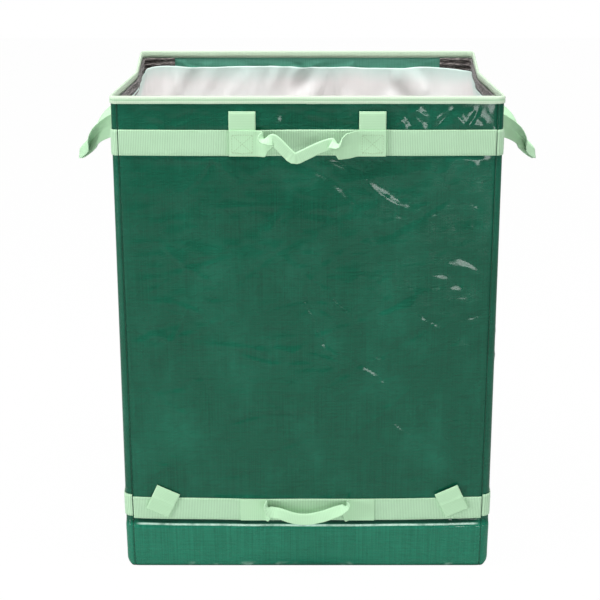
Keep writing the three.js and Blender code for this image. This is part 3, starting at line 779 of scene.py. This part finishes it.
def strap(name, wall, height, stations, steps=170, across=20):
    """A ribbon along the stations whose section folds over at its middle line."""
    table = np.array(stations, dtype=float)
    table[:, :3] *= MM
    reach = np.concatenate([[0], np.cumsum(np.linalg.norm(np.diff(table[:, :3], axis=0), axis=1))])
    at = np.linspace(0, reach[-1], steps + 1)
    along, drop, off, fold, lean = (smooth_through(reach, column, at) for column in table.T)
    s = MIDDLE[wall] + along
    centre = shell(s, height - drop, off)
    up = shell(s, np.full_like(s, height + 0.02)) - shell(s, np.full_like(s, height - 0.02))
    up /= np.linalg.norm(up, axis=1, keepdims=True)
    tangent = np.gradient(centre, axis=0)
    tangent /= np.linalg.norm(tangent, axis=1, keepdims=True)
    out = np.cross(tangent, up)
    out /= np.linalg.norm(out, axis=1, keepdims=True)
    level = smoothstep(0.5, 1.0, fold)[:, None]
    up = up * (1 - level) + np.cross(out, tangent) * level
    up /= np.linalg.norm(up, axis=1, keepdims=True)
    w = np.linspace(-WEBBING_WIDTH / 2, WEBBING_WIDTH / 2, across * 2 + 1)[:, None]
    w = w * (1 - 0.12 * fold[None, :])
    angle = np.radians(90 - lean - 172 * fold * smoothstep(-2.4 * MM, 2.4 * MM, w))
    step = np.diff(w, axis=0)
    sway = noise(at * 60, w * 90, 7 + len(name)) * 0.25 * MM * fold
    run_out, run_up = added_up(np.cos(angle), step), added_up(np.sin(angle), step)
    run_out, run_up = run_out - run_out[across] + sway, run_up - run_up[across]
    points = centre[None] + run_out[..., None] * out[None] + run_up[..., None] * up[None]
    uv = np.stack(np.broadcast_arrays(at[None, :], w), axis=-1)
    return cloth(name, points, uv, WEBBING, offset=0)


HANDLE_SPAN, LOWER_SPAN, ANCHOR = 240, 222, 41
BAND_TOP, TAB_FOOT, TAB_DEPTH = 2.0, 2.2, 3.2
OVER_TAB = TAB_FOOT + TAB_DEPTH + 0.3 + 0.9
ON_BAND = BAND_TOP + 0.9


def with_anchors(span, off, slack):
    """The flat sewn ends before and after the slack of a handle."""
    flat = [(-span / 2, 0, off, 0, 0), (-span / 2 + ANCHOR, 0, off, 0, 0)]
    return flat + slack + [(-a, d, o, f, n) for a, d, o, f, n in reversed(flat)]


front_slack = [
    (-66, 0, 12, 0.08, 0), (-58, -15, 20, 0.8, 2), (-52, -18, 25, 1, 6), (-24, 4, 31, 1, 8),
    (-18, 9, 32, 1, 8), (-11, 6, 31, 1, 8), (24, -9, 27, 1, 6), (38, -12, 25, 0.95, 6),
    (48, 2, 22, 0.25, -4), (62, 2, 13, 0.05, -2),
]
side_slack = [
    (-68, 4, 19, 0.1, -4), (-50, 17, 44, 0.4, 2), (-30, 38, 66, 0.85, 8), (-10, 56, 84, 1, 5),
    (10, 56, 84, 1, 5), (30, 38, 66, 0.85, 8), (50, 17, 44, 0.4, 2), (68, 4, 19, 0.1, -4),
]
lower_slack = [
    (-66, 0, 7, 0.03, 0), (-58, -11, 13, 0.6, 4), (-52, -11, 16, 0.75, 16), (-16, -2, 21, 0.75, 38),
    (-4, -1, 21, 0.75, 38), (20, -5, 20, 0.75, 30), (50, -14, 15, 0.75, 8), (57, -15, 13, 0.6, 0),
    (64, 0, 8, 0.03, 0),
]

# %% Handles
for name in SIDES:
    slack = front_slack if name in ("front", "back") else side_slack
    handle = strap(f"{name}_handle", name, UPPER_BAND, with_anchors(HANDLE_SPAN, OVER_TAB, slack))
    dress(handle, strap_look, [f"{name}_upper_handle"])
for name in ("front", "back"):
    stations = with_anchors(LOWER_SPAN, ON_BAND, lower_slack)
    handle = strap(f"{name}_low_handle", name, LOWER_BAND - 0.9 * LOWER_SAG, stations)
    dress(handle, strap_look, [f"{name}_lower_handle"])

# %% [markdown]
# A tab is a short piece of webbing doubled over, with the fold at its free end. Its profile
# is a hairpin: up the back ply, round a small half circle, and down the front ply.

# %% Folded tabs
TAB_HALF = 20.5 * MM


def tab(name, wall, middle, foot, length, tilt, node):
    """A hairpin profile along the tab, carried across its width and laid on the wall."""
    back, front = 0.7 * MM, (TAB_DEPTH - 0.5) * MM
    round_steps = np.linspace(-QUARTER, QUARTER, 9)
    radius = (front - back) / 2
    straight = np.linspace(0, length - radius, 26)
    along = np.concatenate([straight, length - radius + radius * np.cos(round_steps), straight[::-1]])
    turn = (back + front) / 2 + radius * np.sin(round_steps)
    off = np.concatenate([np.full(26, back), turn, np.full(26, front)])
    across = np.linspace(-TAB_HALF, TAB_HALF, 17)[:, None]
    crease = 0.9 * MM * np.exp(-(((along - 0.52 * length) / (2.5 * MM)) ** 2)) * (off > 0.001) * (tilt != 0)
    free = smoothstep(0.3 * length, length, along) * (off > 0.001)
    bow = 0.6 * MM * (1 - (across / TAB_HALF) ** 2) * free
    x = across * math.cos(tilt) + along * math.sin(tilt)
    z = along * math.cos(tilt) - across * math.sin(tilt)
    points = shell(MIDDLE[wall] + middle + x, foot + z, TAB_FOOT * MM + off + crease + bow)
    distance = np.cumsum(np.hypot(np.diff(along, prepend=0), np.diff(off, prepend=back)))
    uv = np.stack(np.broadcast_arrays(distance[None, :], across), axis=-1)
    item = cloth(name, points, uv, WEBBING, offset=0)
    dress(item, strap_look, [node])


UPPER_TAB = 67 * MM
LOWER_TAB = 46 * MM
ANCHOR_MIDDLE = (HANDLE_SPAN - ANCHOR) / 2 * MM
LOWER_TAB_PLACE = WIDTH / 2 - 51 * MM
LOWER_TAB_TILT = math.radians(25)
for name in SIDES:
    for end, side in (("a", -1), ("b", 1)):
        foot = UPPER_BAND - WEBBING_WIDTH / 2 + 1 * MM
        tab(f"{name}_loop_{end}", name, side * ANCHOR_MIDDLE, foot, UPPER_TAB, 0.0, f"{name}_upper_tab_{end}")
for name in ("front", "back"):
    for end, side in (("a", -1), ("b", 1)):
        foot = LOWER_BAND - sag(name, LOWER_TAB_PLACE) - WEBBING_WIDTH / 2 + 13 * MM
        middle, tilt = side * LOWER_TAB_PLACE, -side * LOWER_TAB_TILT
        tab(f"{name}_low_loop_{end}", name, middle, foot, LOWER_TAB, tilt, f"{name}_lower_tab_{end}")

# %% [markdown]
# Thread shows as short raised stitches. One stitch is a small spindle with pointed ends, and
# a row of them is that spindle repeated along a line on the cloth.

# %% Stitches
def spindle():
    """Rings of six points whose radius follows a half circle, closed by a point at each end."""
    angles = np.linspace(0, 2 * math.pi, 6, endpoint=False)
    place, radius = np.array([-0.32, 0, 0.32]), np.array([0.75, 1, 0.75])
    rings = [
        np.stack([np.full(6, p), r * np.cos(angles), r * np.sin(angles)], axis=-1)
        for p, r in zip(place, radius)
    ]
    points = np.concatenate([[[-0.5, 0, 0]], *rings, [[0.5, 0, 0]]])
    faces = []
    for k in range(6):
        n = (k + 1) % 6
        faces += [(0, 1 + n, 1 + k, 1 + k), (19, 13 + k, 13 + n, 13 + n)]
        faces += [(1 + k, 1 + n, 7 + n, 7 + k), (7 + k, 7 + n, 13 + n, 13 + k)]
    return points, faces


SPINDLE_POINTS, SPINDLE_FACES = spindle()
TRIANGLES = [(a, b, c) for a, b, c, _ in SPINDLE_FACES]
TRIANGLES = np.array(TRIANGLES + [(a, c, d) for a, _, c, d in SPINDLE_FACES if c != d])


def stitches(name, lines, look, pitch=4.5 * MM, length=3.4 * MM, radius=0.35 * MM):
    """Spindles along lines; a line is (wall, points along, heights, distances off the wall)."""
    starts, ends = [], []
    for wall, along, z, off in lines:
        line = shell(MIDDLE[wall] + np.asarray(along, float), np.asarray(z, float), np.asarray(off, float))
        reach = np.concatenate([[0], np.cumsum(np.linalg.norm(np.diff(line, axis=0), axis=1))])
        count = max(1, int(reach[-1] / pitch))
        middle = (np.arange(count) + 0.5) * reach[-1] / count
        for places, side in ((starts, -0.5), (ends, 0.5)):
            at = middle + side * length
            places.append(np.stack([np.interp(at, reach, line[:, k]) for k in range(3)], axis=-1))
    start, end = np.concatenate(starts), np.concatenate(ends)
    axis = end - start
    flat = np.stack([-axis[:, 1], axis[:, 0], np.zeros(len(axis))], axis=-1)
    level = np.linalg.norm(flat, axis=1) < 1e-6
    flat[level] = (0, 1, 0)
    flat /= np.linalg.norm(flat, axis=1, keepdims=True)
    third = np.cross(axis, flat)
    third /= np.linalg.norm(third, axis=1, keepdims=True)
    centre = (start + end) / 2
    b = SPINDLE_POINTS
    across = b[None, :, 1:2] * flat[:, None] + b[None, :, 2:] * third[:, None]
    points = centre[:, None] + b[None, :, :1] * axis[:, None] + radius * across
    faces = TRIANGLES[None] + (np.arange(len(centre)) * len(b))[:, None, None]
    item = new_object(name, points.reshape(-1, 3), faces.reshape(-1, 3))
    dress(item, look, [])
    print(name, len(centre), "stitches")


def row(wall, first, last, height, off, steps=60):
    """A level line on a wall."""
    return wall, np.linspace(first, last, steps), np.full(steps, height), np.full(steps, off)


band_top = BAND_OFF + 0.25 * MM
band_rows = []
for name in SIDES:
    first, last = panel_span[name]
    along = np.linspace(first + 2 * MM, last - 2 * MM, 60)
    low_line = LOWER_BAND - sag(name, along) + (SIDE_BAND_RISE if name in ("left", "right") else 0)
    for line in (UPPER_BAND + 0 * along, low_line):
        for edge in (-1, 1):
            z = line + edge * (WEBBING_WIDTH / 2 - 1.8 * MM)
            band_rows.append((name, along, z, np.full(60, band_top)))
stitches("band_stitches", band_rows, band_look, radius=0.28 * MM)

binding_rows = [row(name, -QUADRANT / 2, QUADRANT / 2, HEIGHT - 9.2 * MM, 2.0 * MM, 90) for name in SIDES]
stitches("binding_stitches", binding_rows, binding_look, radius=0.3 * MM)

box_lines = []
for name in SIDES:
    for side in (-1, 1):
        off = (OVER_TAB + 0.7) * MM
        left, right = (side * ANCHOR_MIDDLE + edge * 16 * MM for edge in (-1, 1))
        low, high = UPPER_BAND - 15 * MM, UPPER_BAND + 13 * MM
        corners = [(left, low), (right, low), (right, high), (left, high)]
        corners += [(left, low), (right, high), (left, high), (right, low)]
        for (x0, z0), (x1, z1) in zip(corners, corners[1:]):
            steps = np.linspace(0, 1, 12)
            box_lines.append((name, x0 + (x1 - x0) * steps, z0 + (z1 - z0) * steps, np.full(12, off)))
        wavy = low + 1.5 * MM * np.sin(np.linspace(0, 9, 12))
        box_lines.append((name, np.linspace(left, right, 12), wavy, np.full(12, off)))
stitches("anchor_stitches", box_lines, thread_look, pitch=3.6 * MM, length=2.6 * MM, radius=0.36 * MM)

# %% [markdown]
# Each corner seam shows as a fine thread in the groove where two panels meet.

# %% Corner seams
seam_lines = []
half_band = WEBBING_WIDTH / 2 + 1 * MM
seam_runs = [
    (4 * MM, LOWER_BAND - half_band),
    (LOWER_BAND + half_band, UPPER_BAND - half_band),
    (UPPER_BAND + half_band, HEIGHT - 14 * MM),
]
for name in ("front", "back"):
    for side in (-1, 1):
        for low, high in seam_runs:
            z = np.linspace(low, high, 120)
            seam_lines.append((name, np.full(120, side * FLAT["front"]), z, np.full(120, 0.1 * MM)))
stitches("seam_stitches", seam_lines, seam_look, pitch=3.2 * MM, length=2.8 * MM, radius=0.4 * MM)

# %% [markdown]
# A pale floor and three soft lights, the widest one above, give the even look of a packshot. The
# floor is nearly white to the camera and keeps the sack's soft shadow.

# %% Floor, lights and world
WHITE_SHARE = 0.985  # how much of the floor is plain white to the camera
ROOM_LIGHT, BACKDROP = 0.36, 1.0  # the world as the sack is lit by it, and as the camera sees it
floor = new_object("floor", [(-6, -6, 0), (6, -6, 0), (6, 6, 0), (-6, 6, 0)], [(0, 1, 2, 3)])
floor_board = Board("pale_floor", Roughness=0.9, Specular_IOR_Level=0.1)
floor_board.paint(Base_Color=(0.86, 0.86, 0.86, 1))
paths = floor_board.add("ShaderNodeLightPath", {}, out="Is Camera Ray")
white = floor_board.add("ShaderNodeEmission", {}, (1, 1, 1, 1), 1.0)
lit = Wire(floor_board, floor_board.surface.outputs[0])
blend = floor_board.add("ShaderNodeMixShader", {}, paths * WHITE_SHARE, lit, white)
floor_board.join(floor_board.tree.nodes["Material Output"].inputs[0], blend)
floor.data.materials.append(floor_board.material)


def softbox(name, place, aim, size, power):
    """A rectangular light of so many watts at a place, turned towards its aim."""
    data = bpy.data.lights.new(name, "AREA")
    data.shape = "RECTANGLE"
    data.size, data.size_y = size
    data.energy = power
    lamp = bpy.data.objects.new(name, data)
    lamp.location = place
    direction = np.array(aim) - np.array(place)
    yaw = math.atan2(direction[0], -direction[1])
    pitch = math.atan2(math.hypot(direction[0], direction[1]), -direction[2])
    lamp.rotation_euler = (pitch, 0, yaw + math.pi)
    bpy.context.scene.collection.objects.link(lamp)


softbox("key_light", (-2.8, -1.7, 0.8), (0, 0, 0.4), (0.7, 0.7), 38)
softbox("fill_light", (0.9, -3.1, 0.5), (0, 0, 0.35), (0.5, 0.5), 14)
softbox("top_light", (0, -0.5, 3.0), (0, 0, 0.4), (3.0, 0.8), 98)

world = bpy.data.worlds.new("studio")
bpy.context.scene.world = world
world.use_nodes = True
tree = world.node_tree
background = tree.nodes["Background"]
rays = tree.nodes.new("ShaderNodeLightPath")
level = tree.nodes.new("ShaderNodeMapRange")
level.inputs["To Min"].default_value = ROOM_LIGHT
level.inputs["To Max"].default_value = BACKDROP
tree.links.new(rays.outputs["Is Camera Ray"], level.inputs[0])
tree.links.new(level.outputs[0], background.inputs["Strength"])
background.inputs["Color"].default_value = (1, 1, 1, 1)
bpy.context.scene.view_settings.view_transform = "Standard"
